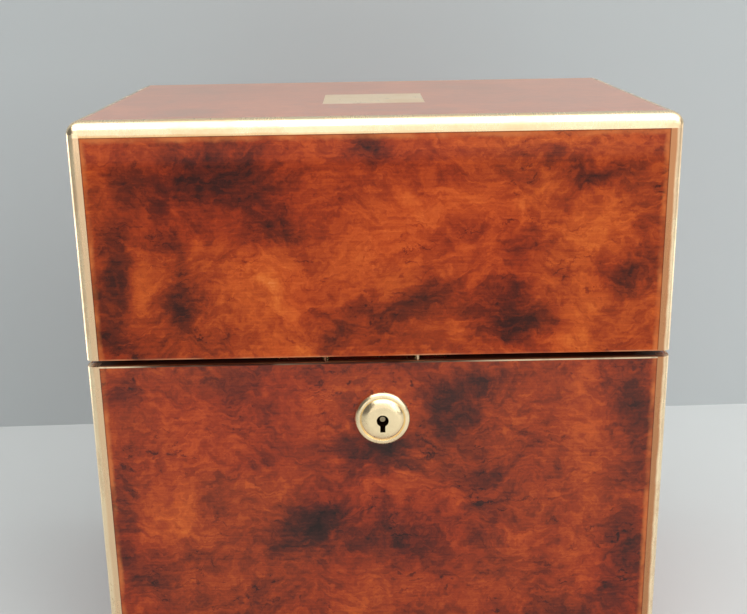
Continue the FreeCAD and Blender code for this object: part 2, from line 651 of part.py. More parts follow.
link_y = (deep("dims.selvedge_front"), deep("dims.lid_wall"))
link_space = block("link_space", SELVEDGE_X, link_y, (LID_RIM, f"{LID_RIM} + dims.selvedge"))
link_screw_x = PLATE_SCREW_X + [f"({PLATE_SCREW_X[0]} + {PLATE_SCREW_X[1]}) / 2"]
link_holes = screws("link_plate_screws", [(x, f"({link_y[0]} + {link_y[1]}) / 2", LID_RIM)
                                          for x in link_screw_x], up=True)
staple_solids = [block(f"staple_{count}", (f"{x} - dims.staple / 2", f"{x} + dims.staple / 2"),
                       (deep("dims.staple_front"), deep("dims.staple_back")),
                       (below_rim("dims.staple_drop"), LID_RIM))
                 for count, x in enumerate(STAPLES)]
eyes = [block(f"eye_{count}", (f"{x} - dims.staple", f"{x} + dims.staple"),
              (deep("dims.eye_front"), deep("dims.eye_back")),
              (below_rim("dims.eye_bottom"), below_rim("dims.eye_top")))
        for count, x in enumerate(STAPLES)]
keep("link_plate", cut("link_cut", fuse("link_whole", [link_space, *staple_solids]),
                       group("link_eyes", eyes), link_holes))
studs = group("studs", [rod(f"stud_{count}", "Z", (x, deep("dims.stud_inset")),
                            (f"{RIM} + dims.stud_play", f"{LID_RIM} + dims.stud_length"), "dims.stud")
                        for count, x in enumerate(STAPLES)])
keep("lid_rest_studs", studs)


# ---- Initial plate ----

plate_y = "(dims.plate_from_front - dims.box_depth / 2)"
plate_space = block("plate_space", ("-dims.plate_width / 2", "dims.plate_width / 2"),
                    (f"{plate_y} - dims.plate_depth / 2", f"{plate_y} + dims.plate_depth / 2"),
                    (f"{TOP} - dims.veneer", TOP))
plate_pins = group("plate_pins", [
    rod(f"plate_pin_{count}", "Z",
        (f"{x}(dims.plate_width / 2 - dims.plate_pin_inset)",
         f"{plate_y} {y} (dims.plate_depth / 2 - dims.plate_pin_inset)"),
        (f"{TOP} - dims.veneer - dims.plate_pin_length", TOP), "dims.plate_pin")
    for count, (x, y) in enumerate(CORNERS)])
keep("initial_plate", cut("plate_cut", plate_space, plate_pins))
keep("initial_plate_pins", plate_pins)


# ---- Wooden carcase and veneers ----

def walls(part, wall, board_z, veneer_z):
    """The four boards and four veneers of the lid or the base, by side, as uncut blocks."""
    made = {}
    for side, sign in (("front", "-"), ("back", "+")):
        made[f"{side}_board"] = block(f"{part}_{side}_blank", inside(LEFT, RIGHT, "dims.veneer"),
                                      in_from(sign, FRONT, BACK, "dims.veneer", wall), board_z)
        made[f"{side}_veneer"] = block(f"{part}_{side}_leaf", inside(LEFT, RIGHT, "dims.strip"),
                                       in_from(sign, FRONT, BACK, "0", "dims.veneer"), veneer_z)
    for side, sign in SIDES:
        made[f"{side}_board"] = block(f"{part}_{side}_blank",
                                      in_from(sign, LEFT, RIGHT, "dims.veneer", wall),
                                      inside(FRONT, BACK, wall), board_z)
        made[f"{side}_veneer"] = block(f"{part}_{side}_leaf", in_from(sign, LEFT, RIGHT, "0", "dims.veneer"),
                                       inside(FRONT, BACK, "dims.strip"), veneer_z)
    return made


def finish_walls(part, made, tools):
    """Cut each board and veneer with its tools, and keep it as a node."""
    for name, item in made.items():
        node = f"{part}_{name}"
        keep(node, cut(f"{node}_cut", item, *tools[name]) if name in tools else item)


lid_walls = walls("lid", "dims.lid_wall", (f"{LID_RIM} + dims.facing", CEILING),
                  (LID_RIM, f"{TOP} - dims.top_strip"))
finish_walls("lid", lid_walls, {
    "front_board": [corner_space, link_space, link_holes, studs],
    "back_board": [corner_space, lid_hinge_holes],
    "back_veneer": [leaf_space["lid"]],
})
top_board = block("lid_top_blank", inside(LEFT, RIGHT, "dims.veneer"), inside(FRONT, BACK, "dims.veneer"),
                  (CEILING, f"{TOP} - dims.veneer"))
top_veneer = block("lid_top_leaf", inside(LEFT, RIGHT, "dims.strip"), inside(FRONT, BACK, "dims.strip"),
                   (f"{TOP} - dims.veneer", TOP))
keep("lid_top_board", cut("lid_top_board_cut", top_board, corner_space, top_space, plate_pins))
keep("lid_top_veneer", cut("lid_top_veneer_cut", top_veneer, plate_space))
keep("lid_rim_facing", cut("lid_rim_cut",
                           ring("lid_rim", "dims.lid_wall", (LID_RIM, f"{LID_RIM} + dims.facing")),
                           corner_space, link_space, leaf_space["lid"], studs))

base_walls = walls("base", "dims.base_wall", ("dims.baize", f"{RIM} - dims.facing"),
                   ("dims.baize + dims.strip", RIM))
line_z = (f"{RIM} - dims.line_height", RIM)
rim_lines = [block("front_line", inside(LEFT, RIGHT, "dims.strip"), (FRONT, deep("dims.line_depth")), line_z)]
rim_lines += [block(f"{side}_line", in_from(sign, LEFT, RIGHT, "0", "dims.line_depth"),
                    inside(FRONT, BACK, "dims.strip"), line_z) for side, sign in SIDES]
rim_line = group("rim_lines", rim_lines)
keep("base_rim_line", rim_line)
finish_walls("base", base_walls, {
    "front_board": [corner_space, bottom_space, case_space, selvedge_space, sleeve_space, lock_holes],
    "back_board": [corner_space, bottom_space, base_hinge_holes],
    "left_board": [bottom_space],
    "right_board": [bottom_space],
    "front_veneer": [sleeve_space, rim_line],
    "left_veneer": [rim_line],
    "right_veneer": [rim_line],
    "back_veneer": [leaf_space["base"]],
})
keep("base_rim_facing", cut("base_rim_cut",
                            ring("base_rim", "dims.base_wall", (f"{RIM} - dims.facing", RIM)),
                            corner_space, case_space, selvedge_space, leaf_space["base"]))
keep("base_floor_board", block("floor_panel", inside(LEFT, RIGHT, "dims.base_wall"),
                               inside(FRONT, BACK, "dims.base_wall"), ("dims.baize", FLOOR)))
keep("base_baize", block("baize_sheet", inside(LEFT, RIGHT, "dims.baize_inset"),
                         inside(FRONT, BACK, "dims.baize_inset"), ("0", "dims.baize")))


# ---- Linings ----

def linings(part, wall, thickness, z):
    """Four lining boards, the front and back ones running through."""
    faces = f"{wall} + {thickness}"
    for side, sign in (("front", "-"), ("back", "+")):
        keep(f"{part}_lining_{side}", block(f"{part}_line_{side}", inside(LEFT, RIGHT, wall),
                                            in_from(sign, FRONT, BACK, wall, faces), z))
    for side, sign in SIDES:
        keep(f"{part}_lining_{side}", block(f"{part}_line_{side}", in_from(sign, LEFT, RIGHT, wall, faces),
                                            inside(FRONT, BACK, faces), z))


linings("base", "dims.base_wall", "dims.base_lining", (LINED_FLOOR, f"{RIM} + dims.lip"))
linings("lid", "dims.lid_wall", "dims.lid_lining", (f"{LID_RIM} + dims.lid_lining_start", CEILING))
keep("base_lining_floor", block("floor_card", inside(LEFT, RIGHT, "dims.base_wall"),
                                inside(FRONT, BACK, "dims.base_wall"), (FLOOR, LINED_FLOOR)))
keep("canister_divider", block("divider_board", ("-dims.divider / 2", "dims.divider / 2"),
                               inside(FRONT, BACK, "dims.base_wall + dims.base_lining"),
                               (LINED_FLOOR, below_rim("dims.divider_drop"))))
pad_margin = "dims.lid_wall + dims.lid_lining + dims.pad_gap"
keep("lid_pad", rounded("pad_cushion", inside(LEFT, RIGHT, pad_margin), inside(FRONT, BACK, pad_margin),
                        (f"{CEILING} - dims.pad", CEILING), "dims.pad_edge"))


# ---- Canisters ----

def canister(side, sign):
    """A sheet-metal canister, open through its neck, and its slip-on cap with a turned knob."""
    bay = "(dims.box_width / 2 - dims.base_wall - dims.base_lining)"
    x = f"({sign}({bay} + dims.divider / 2) / 2)"
    foot = f"({LINED_FLOOR} + dims.rest_gap)"
    shoulder = f"({foot} + dims.canister_height)"
    mouth = f"{shoulder} + dims.neck_height"
    size_x = (f"{x} - dims.canister_width / 2", f"{x} + dims.canister_width / 2")
    size_y = ("-dims.canister_depth / 2", "dims.canister_depth / 2")
    outer = rounded(f"canister_form_{side}", size_x, size_y, (foot, shoulder), "dims.canister_edge")
    hollow = rounded(f"canister_hollow_{side}", inside(*size_x, "dims.sheet_metal"),
                     inside(*size_y, "dims.sheet_metal"), inside(foot, shoulder, "dims.sheet_metal"),
                     "dims.canister_edge - dims.sheet_metal")
    neck = rod(f"neck_{side}", "Z", (x, "0"), (f"{shoulder} - dims.sheet_metal", mouth), "dims.neck")
    bore = rod(f"neck_bore_{side}", "Z", (x, "0"), (f"{shoulder} - 2 * dims.sheet_metal", mouth),
               "dims.neck - dims.sheet_metal")
    keep(f"canister_{side}", cut(f"canister_open_{side}", fuse(f"canister_whole_{side}", [outer, neck]),
                                 hollow, bore))
    inner, outer_r = "dims.neck + dims.cap_play", "dims.neck + dims.cap_play + dims.cap_wall"
    roof = "dims.neck_height + dims.rest_gap"
    edge = f"{roof} + dims.cap_wall"
    crown = f"{roof} + dims.cap_wall + dims.cap_dome"
    ball = f"({crown} + dims.knob_stem_height + sqrt(dims.knob ^ 2 - dims.knob_stem ^ 2))"
    cap = turned(f"cap_body_{side}", [
        (inner, "dims.rest_gap"),
        (outer_r, "dims.rest_gap"),
        (outer_r, f"{edge} - dims.cap_round"),
        (f"{outer_r} - dims.cap_round", edge, "dims.cap_round", 1),
        ("dims.knob_foot", crown, "dims.cap_dome_radius", 1),
        ("dims.knob_stem", f"{crown} + dims.knob_stem_height / 2", "dims.knob_foot_round", -1),
        ("dims.knob_stem", f"{crown} + dims.knob_stem_height"),
        ("0", f"{ball} + dims.knob", "dims.knob", 1),
        ("0", roof),
        (inner, roof),
    ])
    keep(f"canister_cap_{side}", place(cap, x, "0", shoulder))


for side, sign in SIDES:
    canister(side, sign)


# ---- Check and write ----

doc.recompute()
faults = [f"{item.Name}: {item.State}" for item in doc.Objects
          if {"Invalid", "Error"} & set(item.State)]
for label, item in sorted(nodes.items()):
    shape = item.Shape
    if shape.isNull() or not shape.isValid() or not shape.Solids:
        faults.append(f"{label}: no valid solid")
        continue
    box = shape.BoundBox
    spans = [f"{axis} {getattr(box, axis + 'Min'):8.2f} {getattr(box, axis + 'Max'):8.2f}" for axis in "XYZ"]
    print(f"{label:24} {len(shape.Solids)} solids {shape.Volume / 1000:9.3f} cm3", *spans)
if faults:
    sys.exit("\n".join(faults))
os.makedirs("parts", exist_ok=True)
for label, item in nodes.items():
    item.Shape.exportStep(f"parts/{label}.step")
print(len(nodes), "nodes")
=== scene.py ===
"""The looks of the tea caddy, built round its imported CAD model. Metres; the box's front faces -Y."""

import math
import random

import bmesh
import bpy
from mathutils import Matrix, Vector


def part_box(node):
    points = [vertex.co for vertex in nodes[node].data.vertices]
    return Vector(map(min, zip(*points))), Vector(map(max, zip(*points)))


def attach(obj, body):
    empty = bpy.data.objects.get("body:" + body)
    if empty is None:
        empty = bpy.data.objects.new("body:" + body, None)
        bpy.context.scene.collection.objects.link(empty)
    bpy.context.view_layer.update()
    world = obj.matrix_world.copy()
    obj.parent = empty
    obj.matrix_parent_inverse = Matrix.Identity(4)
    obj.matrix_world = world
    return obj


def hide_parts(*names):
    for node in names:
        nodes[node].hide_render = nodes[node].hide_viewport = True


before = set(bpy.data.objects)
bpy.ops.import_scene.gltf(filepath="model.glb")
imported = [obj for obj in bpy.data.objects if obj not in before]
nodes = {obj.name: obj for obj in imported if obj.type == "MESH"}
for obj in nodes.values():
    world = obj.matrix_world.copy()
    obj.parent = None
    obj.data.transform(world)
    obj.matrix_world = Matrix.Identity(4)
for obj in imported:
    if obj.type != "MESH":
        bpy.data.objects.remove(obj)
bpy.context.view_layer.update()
scene = bpy.context.scene
MM = 0.001


def rgb(red, green, blue):
    """A screen colour, 0 to 255, as linear light."""
    return tuple(((part / 255 + 0.055) / 1.055) ** 2.4 for part in (red, green, blue))


# ---- Materials: shader nodes written as expressions ----

class Shader:
    """A material with one Principled shader. Numbers, colours and node outputs can all be given as values."""

    def __init__(self, name, **settings):
        self.material = bpy.data.materials.new(name)
        self.material.use_nodes = True
        self.tree = self.material.node_tree
        self.surface = self.tree.nodes["Principled BSDF"]
        self.place = self.add("ShaderNodeTexCoord").outputs["Object"]
        for socket, value in settings.items():
            self.set(socket.replace("_", " "), value)

    def add(self, kind, *values, **settings):
        """A node with its first inputs filled in order."""
        node = self.tree.nodes.new(kind)
        for key, value in settings.items():
            setattr(node, key, value)
        for socket, value in zip(node.inputs, values):
            self.feed(socket, value)
        return node

    def feed(self, socket, value):
        """Link a node output, or set a constant. A colour gets its alpha, and one number fills a vector."""
        if isinstance(value, bpy.types.NodeSocket):
            self.tree.links.new(value, socket)
        elif isinstance(value, tuple) and len(value) == 3 and len(socket.default_value) == 4:
            socket.default_value = (*value, 1)
        elif isinstance(value, (int, float)) and hasattr(socket.default_value, "__len__"):
            socket.default_value = (value,) * 3
        else:
            socket.default_value = value

    def set(self, socket, value):
        self.feed(self.surface.inputs[socket], value)

    def math(self, operation, *values):
        return self.add("ShaderNodeMath", *values, operation=operation).outputs[0]

    def sum(self, *terms):
        """The sum of numbers and of (number, factor) pairs."""
        total = 0.0
        for term in terms:
            value, factor = term if isinstance(term, tuple) else (term, 1.0)
            total = self.math("MULTIPLY_ADD", value, factor, total)
        return total

    def vector(self, operation, *values):
        return self.add("ShaderNodeVectorMath", *values, operation=operation).outputs[0]

    def axes(self):
        """X, Y and Z of the place on the object."""
        return self.add("ShaderNodeSeparateXYZ", self.place).outputs

    def join(self, *parts):
        """A vector of three numbers or outputs."""
        return self.add("ShaderNodeCombineXYZ", *parts).outputs[0]

    def moved(self, vector=None, shift=(0, 0, 0), turn=(0, 0, 0), scale=(1, 1, 1)):
        """The vector scaled, then turned, then shifted."""
        return self.add("ShaderNodeMapping", vector or self.place, shift, turn, scale).outputs[0]

    def noise(self, scale, detail=3.0, rough=0.5, bend=0.0, vector=None, colour=False):
        node = self.add("ShaderNodeTexNoise")
        for socket, value in (("Vector", vector or self.place), ("Scale", scale), ("Detail", detail),
                              ("Roughness", rough), ("Distortion", bend)):
            self.feed(node.inputs[socket], value)
        return node.outputs["Color" if colour else "Fac"]

    def cells(self, scale, vector):
        """Distance to the nearest of scattered points."""
        node = self.add("ShaderNodeTexVoronoi")
        for socket, value in (("Vector", vector), ("Scale", scale)):
            self.feed(node.inputs[socket], value)
        return node.outputs["Distance"]

    def threads(self, direction):
        """Woven threads that lie side by side along the direction."""
        node = self.add("ShaderNodeTexWave", bands_direction=direction)
        for socket, value in (("Vector", self.place), ("Scale", 900), ("Distortion", 0.3), ("Detail", 1)):
            self.feed(node.inputs[socket], value)
        return node.outputs["Fac"]

    def ramp(self, value, *stops):
        """Colours at places from 0 to 1."""
        node = self.add("ShaderNodeValToRGB", value)
        band = node.color_ramp.elements
        band[0].position, band[1].position = stops[0][0], stops[-1][0]
        for where, _ in stops[1:-1]:
            band.new(where)
        for element, (_, colour) in zip(band, stops):
            element.color = (*colour, 1)
        return node.outputs["Color"]

    def span(self, value, low, high, out_low=0.0, out_high=1.0):
        """value from low..high, smoothly to out_low..out_high, and held at both ends."""
        return self.add("ShaderNodeMapRange", value, low, high, out_low, out_high,
                        interpolation_type="SMOOTHSTEP").outputs[0]

    def mix(self, share, first, second, blend="MIX"):
        """The first colour, with this share of the second."""
        node = self.add("ShaderNodeMix", share, data_type="RGBA", blend_type=blend)
        self.feed(node.inputs[6], first)
        self.feed(node.inputs[7], second)
        return node.outputs[2]

    def bump(self, *heights):
        """Raises the surface by pairs of a value and its height in metres."""
        normal = None
        for value, height in heights:
            node = self.add("ShaderNodeBump")
            self.feed(node.inputs["Height"], value)
            node.inputs["Distance"].default_value = height
            if normal:
                self.feed(node.inputs["Normal"], normal)
            normal = node.outputs[0]
        self.set("Normal", normal)


def stretched(fine, coarse, axis):
    """A noise scale whose streaks run along one axis."""
    return tuple(coarse if number == axis else fine for number in range(3))


def dress(material, *names):
    """Give CAD nodes a material."""
    for name in names:
        for slot in nodes[name].material_slots:
            slot.material = material


# ---- Camera and stage ----

CAMERA_PLACE = (-0.0036, -0.421, 0.2497)
CAMERA_TURN = (73.44, 0.91, -0.61)  # degrees
LENS, SENSOR = 52.8, 36  # mm

# Reflectance of the paints, and the room's light, all linear.
TABLE = (0.545, 0.57, 0.57)
WALL = (0.50, 0.54, 0.55)
ROOM = (0.15, 0.152, 0.155)
TABLE_HALF = 3
# The board behind the box: its foot at X = 0, how far it recedes per metre of X, half its width, its height.
BOARD_FOOT, BOARD_SLANT, BOARD_HALF, BOARD_HEIGHT = 0.191, 0.0325, 1.5, 1.2


def make_camera():
    """The photograph's view: straight on from the front and a little above the lid."""
    data = bpy.data.cameras.new("camera")
    data.lens = LENS
    data.sensor_width = SENSOR
    camera = bpy.data.objects.new("camera", data)
    camera.location = CAMERA_PLACE
    camera.rotation_euler = [math.radians(angle) for angle in CAMERA_TURN]
    scene.collection.objects.link(camera)
    scene.camera = camera


def plane(name, corners, material):
    """One flat face."""
    mesh = bpy.data.meshes.new(name)
    mesh.from_pydata(corners, [], [tuple(range(len(corners)))])
    mesh.materials.append(material)
    item = bpy.data.objects.new(name, mesh)
    scene.collection.objects.link(item)
    return item


def make_stage():
    """A pale table, and a grey board close behind that is clear when it is seen from the back."""
    table = Shader("table_paint", Roughness=0.42)
    table.set("Base Color", table.mix(table.noise(6, 2), TABLE, tuple(1.04 * part for part in TABLE)))
    table.bump((table.noise(900, 2), 0.00003))
    end = TABLE_HALF
    floor = plane("floor", [(-end, -end, 0), (end, -end, 0), (end, end, 0), (-end, end, 0)], table.material)

    paint = Shader("board_paint", Roughness=0.7)
    paint.set("Base Color", WALL)
    see_through = paint.add("ShaderNodeBsdfTransparent").outputs[0]
    one_sided = paint.add("ShaderNodeMixShader", paint.add("ShaderNodeNewGeometry").outputs["Backfacing"],
                          paint.surface.outputs[0], see_through)
    paint.feed(paint.tree.nodes["Material Output"].inputs["Surface"], one_sided.outputs[0])
    half, top = BOARD_HALF, BOARD_HEIGHT
    left, right = BOARD_FOOT - half * BOARD_SLANT, BOARD_FOOT + half * BOARD_SLANT
    board = plane("backdrop", [(-half, left, 0), (half, right, 0), (half, right, top), (-half, left, top)],
                  paint.material)


def area_light(name, place, target, size, watts, colour=(1, 1, 1), glint=False):
    """A soft light that faces its target, in watts. A glint is seen in reflections only."""
    data = bpy.data.lights.new(name, "AREA")
    data.shape = "RECTANGLE"
    data.size, data.size_y = size
    data.energy = watts
    data.color = colour
    light = bpy.data.objects.new(name, data)
    light.location = place
    light.rotation_euler = (Vector(target) - Vector(place)).to_track_quat("-Z", "Y").to_euler()
    light.visible_camera = False
    light.visible_diffuse = not glint
    scene.collection.objects.link(light)


def make_light():
    """Soft daylight: an even room, a broad ceiling light, and a window at the front right.

    The three cards are seen in reflections only: they give the brass its bright edges.
    """
    world = bpy.data.worlds.new("room")
    world.use_nodes = True
    world.node_tree.nodes["Background"].inputs["Color"].default_value = (*ROOM, 1)
    world.node_tree.nodes["Background"].inputs["Strength"].default_value = 1.0
    scene.world = world
    scene.view_settings.view_transform = "Standard"
    area_light("ceiling", (0.45, -0.75, 1.6), (0.45, -0.75, 0), (3.0, 2.4), 60, (1, 0.99, 0.97))
    area_light("window", (1.8, -1.6, 0.95), (0, 0, 0.15), (1.9, 1.5), 15.5, (1, 1, 1))
    area_light("front_card", (0.10, -1.25, 0.51), (0.10, 0, 0.51), (1.5, 1.0), 5.0, (1, 0.99, 0.96), True)
    area_light("left_card", (-0.4, 0.07, 0.1), (-0.1, -0.067, 0.1), (0.2, 0.2), 0.28, (1, 0.98, 0.95), True)
    area_light("right_card", (0.4, 0.07, 0.1), (0.1, -0.067, 0.1), (0.2, 0.2), 0.12, (1, 0.99, 0.96), True)


make_camera()
make_stage()
make_light()


# ---- Wood ----

BURR = ((0.0, rgb(36, 19, 15)), (0.18, rgb(64, 29, 21)), (0.36, rgb(108, 40, 21)), (0.54, rgb(154, 58, 24)),
        (0.72, rgb(192, 84, 31)), (0.88, rgb(214, 108, 42)), (1.0, rgb(232, 144, 76)))
MIDDLE_TONE = 0.60  # where on BURR an even piece of veneer lies
RED_STAIN, PAINTED_TOP_SHEEN = rgb(248, 208, 214), rgb(255, 150, 92)
WORN_EDGE, EDGE_LINE, RIM_WEAR_AND_HIGHLIGHT = rgb(208, 114, 58), rgb(58, 26, 14), rgb(206, 140, 98)


def veneer(name, across, up, seed, clouds=(), glow=(), brass="lrt", gloss=0.45, haze=0.0, dark=0.0):
    """Burr walnut under gloss polish: orange figure with dark clouds, and worn edges where it meets brass.

    across and up are the panel's own axes, 0 to 2. clouds and glow are (across, up, half width,
    half height, strength) in millimetres. brass lists the sides with a brass strip. gloss is the
    polish's weight, haze the share of the pale film that shows at low angles, and dark lowers the tone.
    Any haze also paints a sheen into the colour, lightening it evenly.
    """
    low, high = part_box(name)
    shade = Shader(f"{name}_burr", Roughness=0.5, Specular_IOR_Level=0.9 * haze, Coat_Weight=gloss,
                   Coat_Roughness=0.06, Sheen_Weight=haze, Sheen_Roughness=0.3,
                   Sheen_Tint=(*rgb(255, 206, 182), 1))
    axes = shade.axes()
    u, v = axes[across], axes[up]
    flat = shade.join(u, v, seed)
    wander = shade.vector("SUBTRACT", shade.noise(26, 6, 0.62, vector=flat, colour=True), 0.5)
    bent = shade.vector("MULTIPLY_ADD", wander, 0.045, flat)
    ragged = shade.vector("SUBTRACT", shade.noise(55, 5, 0.66, vector=flat, colour=True), 0.5)
    frayed = shade.vector("MULTIPLY_ADD", ragged, 0.024, flat)

    def spots(places):
        """How much of the listed soft spots is here."""
        total = 0.0
        for x, y, wide, tall, strength in places:
            size = (1 / wide / MM, 1 / tall / MM, 0)
            centred = shade.moved(frayed, shift=(-x / wide, -y / tall, 0), scale=size)
            spot = shade.add("ShaderNodeTexGradient", centred, gradient_type="SPHERICAL").outputs["Fac"]
            total = shade.math("MULTIPLY_ADD", spot, strength, total)
        return total

    broad = shade.noise(20, 5, 0.58, 0.4, vector=shade.moved(bent, shift=(0.3, 0.1, seed)))
    patch = shade.noise(52, 4, 0.6, 0.5, vector=shade.moved(bent, shift=(0.8, 0.4, seed)))
    mottle = shade.span(shade.noise(190, 4, 0.62, 0.3, vector=bent), 0.3, 0.7)
    curl = shade.span(shade.noise(1, 4, 0.64, 0.3, vector=shade.moved(bent, scale=(150, 460, 1))), 0.34, 0.66)
    streak = shade.noise(1, 4, 0.6, vector=shade.moved(flat, scale=(70, 1100, 1)))
    figures = ((broad, 0.7 if clouds else 1.25), (patch, 0.5), (mottle, 0.13), (curl, 0.14), (streak, 0.25))
    tone = shade.sum(MIDDLE_TONE - dark - 0.5 * sum(weight for _, weight in figures), *figures)
    if clouds:
        tone = shade.math("SUBTRACT", tone, shade.span(spots(clouds), 0.0, 1.1, 0, 0.42))
    if glow:
        tone = shade.math("ADD", tone, shade.span(spots(glow), 0.0, 1.0, 0, 0.18))
    flecks = shade.noise(1, 3, 0.6, vector=shade.moved(frayed, scale=(130, 620, 1)))
    dashes = shade.math("MULTIPLY", shade.span(flecks, 0.58, 0.68),
                        shade.span(shade.noise(38, 3, vector=flat), 0.46, 0.62))
    tone = shade.math("MULTIPLY_ADD", dashes, -0.2, tone)
    pips = shade.math("MULTIPLY", shade.span(shade.cells(210, vector=bent), 0.1, 0.26, 1, 0),
                      shade.span(shade.noise(45, 2, vector=flat), 0.52, 0.66))
    tone = shade.math("MULTIPLY_ADD", pips, -0.2, tone)
    colour = shade.ramp(tone, *BURR)
    red = shade.span(shade.noise(17, 3, vector=shade.moved(flat, shift=(0.7, 0.2, 0))), 0.42, 0.66, 0, 0.6)
    colour = shade.mix(red, colour, RED_STAIN, "MULTIPLY")
    # Painted sheen: the top's colour is lightened evenly towards pale orange, standing in for its glancing
    # reflection of the room.
    if haze:
        colour = shade.mix(0.16, colour, PAINTED_TOP_SHEEN)

    edges = {"l": (u, low[across], 1), "r": (u, high[across], -1),
             "b": (v, low[up], 1), "t": (v, high[up], -1)}

    def distance(sides):
        """Metres to the nearest of these sides."""
        least = 1.0
        for side in sides:
            value, at, way = edges[side]
            least = shade.math("MINIMUM", least, shade.sum(-at * way, (value, way)))
        return least

    gap = distance(brass)
    fringe = shade.noise(1, 4, 0.65, vector=shade.moved(flat, scale=(160, 160, 1)))
    rough_gap = shade.math("MULTIPLY_ADD", fringe, 0.0026, shade.math("SUBTRACT", gap, 0.0013))
    worn = shade.span(rough_gap, 0.0008, 0.0024, 1, 0)
    uneven = shade.noise(60, 4, 0.6, vector=shade.moved(flat, shift=(0.5, 0.5, 0)))
    patchy = shade.span(uneven, 0.38, 0.62, 0.2, 0.85)
    colour = shade.mix(shade.math("MULTIPLY", worn, patchy), colour, WORN_EDGE)
    colour = shade.mix(shade.span(gap, 0.0001, 0.0005, 0.6, 0), colour, EDGE_LINE)
    # A thin pale line along the rim edge: partly wear, partly a painted highlight where the edge catches the
    # light.
    if brass in ("lrt", "lrb"):
        rim = distance("b" if brass == "lrt" else "t")
        thin = shade.span(rim, 0.0002, 0.0006, 1, 0)
        broken = shade.span(shade.noise(1, 3, vector=shade.moved(flat, scale=(40, 1, 1))), 0.4, 0.6, 0.1, 0.7)
        colour = shade.mix(shade.math("MULTIPLY", thin, broken), colour, RIM_WEAR_AND_HIGHLIGHT)
    shade.set("Base Color", colour)
    shade.bump((mottle, 0.00003), (shade.noise(60, 2, vector=flat), 0.00012))
    dress(shade.material, name)


# Dark clouds and light patches: across, up, half width, half height, all in mm, and strength.
FRONT_LID_CLOUDS = [(-59, 191, 32, 18, 0.95), (-41, 187, 30, 14, 0.35), (-34, 171, 12, 12, 0.75),
                    (-44, 175, 34, 15, 0.25), (-1, 197, 14, 10, 0.8), (68, 191, 24, 9, 0.85),
                    (20, 188, 28, 7, 0.45), (85, 155, 15, 15, 0.85), (45, 141, 22, 15, 1.1),
                    (14, 144, 28, 13, 0.65), (-2, 142, 22, 11, 0.4), (20, 153, 12, 9, 0.5),
                    (42, 154, 15, 11, 0.65), (48, 164, 18, 8, 0.35), (-18, 136, 12, 9, 0.6),
                    (-90, 152, 13, 25, 0.95), (-66, 146, 10, 20, 0.75), (-67, 167, 11, 13, 0.8),
                    (-87, 131, 14, 10, 0.4), (-84, 176, 17, 20, 0.65), (88, 184, 12, 18, 0.35)]
FRONT_LID_GLOW = [(-46, 150, 20, 16, 0.75), (6, 160, 30, 18, 0.8), (17, 179, 28, 11, 0.9),
                  (70, 171, 26, 13, 0.7), (-78, 142, 14, 18, 0.8), (74, 142, 23, 15, 0.55),
                  (-28, 198, 15, 7, 0.7), (54, 200, 40, 5, 0.8), (-22, 156, 24, 14, 0.4)]
# Under the lock nozzle, the spot at (0, 92) is partly dark figure and partly a painted shadow of the nozzle.
FRONT_BASE_CLOUDS_AND_SHADOW = [(27, 107, 18, 18, 0.9), (38, 119, 15, 10, 0.8), (0, 92, 25, 12, 1.2),
                     (90, 106, 15, 36, 0.7), (87, 56, 17, 42, 0.65), (-25, 63, 24, 15, 1.0),
                     (8, 55, 24, 20, 0.7), (40, 62, 18, 32, 0.5), (58, 63, 14, 17, 0.4),
                     (-92, 70, 11, 42, 0.55), (32, 82, 22, 17, 0.55), (-88, 117, 12, 14, 0.55),
                     (-42, 88, 11, 16, 0.45), (-42, 110, 12, 10, 0.4), (-51, 55, 34, 19, 0.3),
                     (-80, 42, 24, 22, 0.6), (-60, 20, 36, 19, 0.6), (10, 14, 36, 19, 0.7),
                     (70, 22, 28, 28, 0.7)]
FRONT_BASE_GLOW = [(-66, 103, 34, 20, 0.85), (-4, 116, 24, 11, 0.9), (-22, 103, 15, 14, 0.5),
                   (66, 106, 22, 28, 0.9), (-72, 84, 20, 14, 0.4), (75, 70, 14, 22, 0.4),
                   (-6, 78, 14, 10, 0.5), (18, 91, 12, 9, 0.5), (36, 44, 20, 14, 0.25),
                   (-62, 44, 34, 16, 0.2)]
TOP_CLOUDS = [(-65, -46, 20, 18, 1.0), (-20, -20, 26, 20, 0.4), (40, 30, 30, 22, 0.7),
              (70, -30, 22, 20, 0.3), (-58, 30, 28, 22, 0.6), (14, -48, 24, 12, 0.5)]
veneer("lid_front_veneer", 0, 2, 1.3, FRONT_LID_CLOUDS, FRONT_LID_GLOW, gloss=0.3)
veneer("base_front_veneer", 0, 2, 2.1, FRONT_BASE_CLOUDS_AND_SHADOW, FRONT_BASE_GLOW, brass="lrb", gloss=0.6, dark=0.08)
for part, sides, seed in (("lid", "lrt", 3.7), ("base", "lrb", 5.2)):
    veneer(f"{part}_left_veneer", 1, 2, seed, brass=sides)
    veneer(f"{part}_right_veneer", 1, 2, seed + 0.6, brass=sides)
    veneer(f"{part}_back_veneer", 0, 2, seed + 0.9, brass=sides)
veneer("lid_top_veneer", 0, 1, 7.4, TOP_CLOUDS, brass="lrbt", gloss=1.0, haze=1.0)


def plain_wood(name, dark, light, along, gloss=0.45, coat=0.0):
    """Straight-grained wood whose grain runs along one axis."""
    shade = Shader(name, Roughness=gloss, Coat_Weight=coat, Coat_Roughness=0.15)
    grain = shade.noise(1, 6, 0.62, 0.3, vector=shade.moved(scale=stretched(340, 14, along)))
    pores = shade.noise(1, 3, 0.6, vector=shade.moved(scale=stretched(1400, 60, along)))
    pores = shade.span(pores, 0.56, 0.66)
    colour = shade.mix(shade.span(grain, 0.32, 0.68), dark, light)
    colour = shade.mix(shade.math("MULTIPLY", pores, 0.6), colour, tuple(part * 0.35 for part in dark))
    shade.set("Base Color", colour)
    shade.bump((grain, 0.00008), (pores, -0.00006))
    return shade.material


